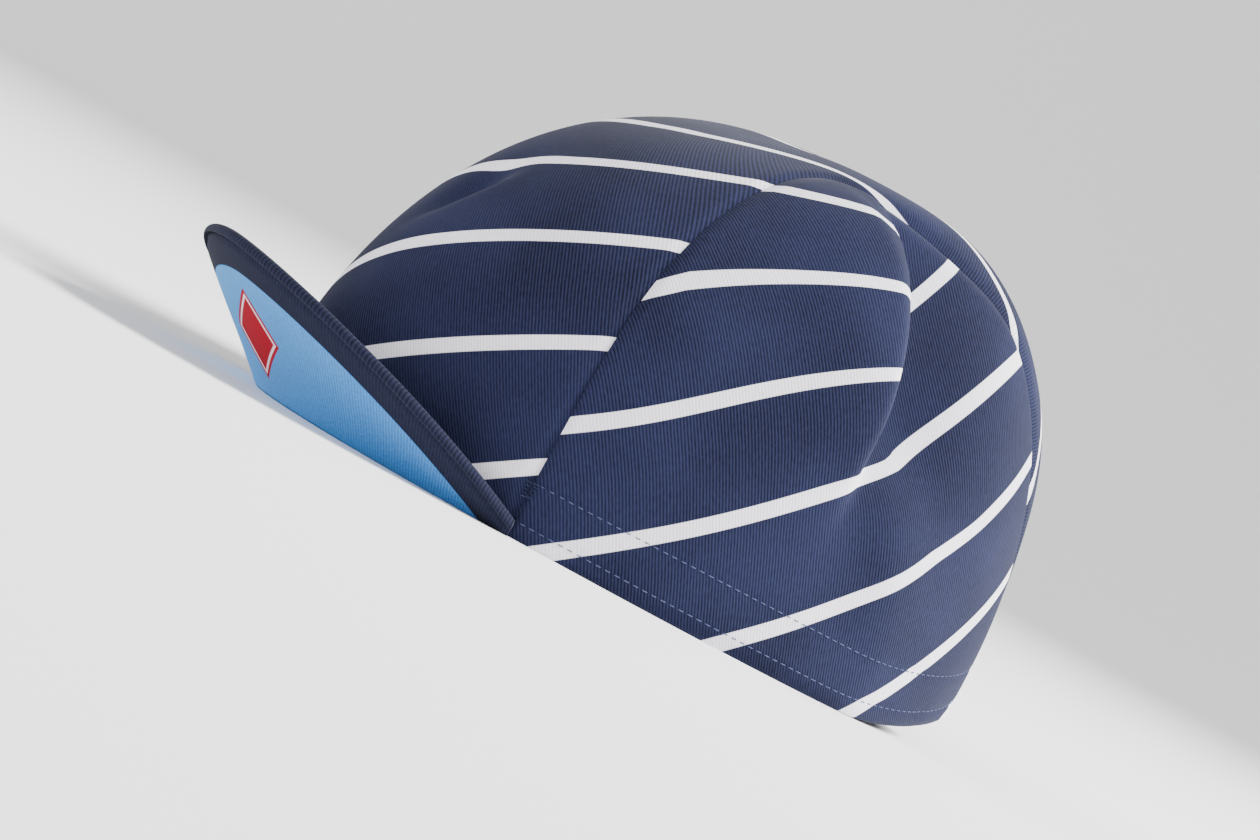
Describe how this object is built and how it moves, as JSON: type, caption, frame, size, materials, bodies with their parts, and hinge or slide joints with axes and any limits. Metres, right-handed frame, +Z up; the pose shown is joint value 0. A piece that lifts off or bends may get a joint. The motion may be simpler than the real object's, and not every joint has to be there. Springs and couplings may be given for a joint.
{
  "type": "cycling cap",
  "caption": "Soft three-panel cotton cap with a narrow turned-up peak, an inner sweatband and a gathered elastic back, standing on its open rim.",
  "frame": {"origin": "middle of the foot of the whole cap's box, on the plane that the rim rests on", "axes": "+Z up towards the top of the crown, -Y towards the peak, +X towards the wearer's left"},
  "size_m": [0.1536, 0.2326, 0.1163],
  "materials": {
    "navy_twill": "matt fine twill, printed with thin pale stripes",
    "printed_cotton": "matt fine twill, sky blue inside a navy edge",
    "overlocked_cotton": "undyed back of the cloth with pale overlock thread",
    "ribbon": "dark ribbed woven ribbon"
  },
  "bodies": {
    "root": {"crown_panel_left": "navy_twill", "crown_panel_right": "navy_twill", "crown_panel_centre": "navy_twill", "seam_allowance_left": "overlocked_cotton", "seam_allowance_right": "overlocked_cotton", "sweatband": "ribbon", "elastic_casing": "ribbon", "peak_upper_cover": "navy_twill", "peak_under_cover": "printed_cotton"}
  },
  "joints": []
}
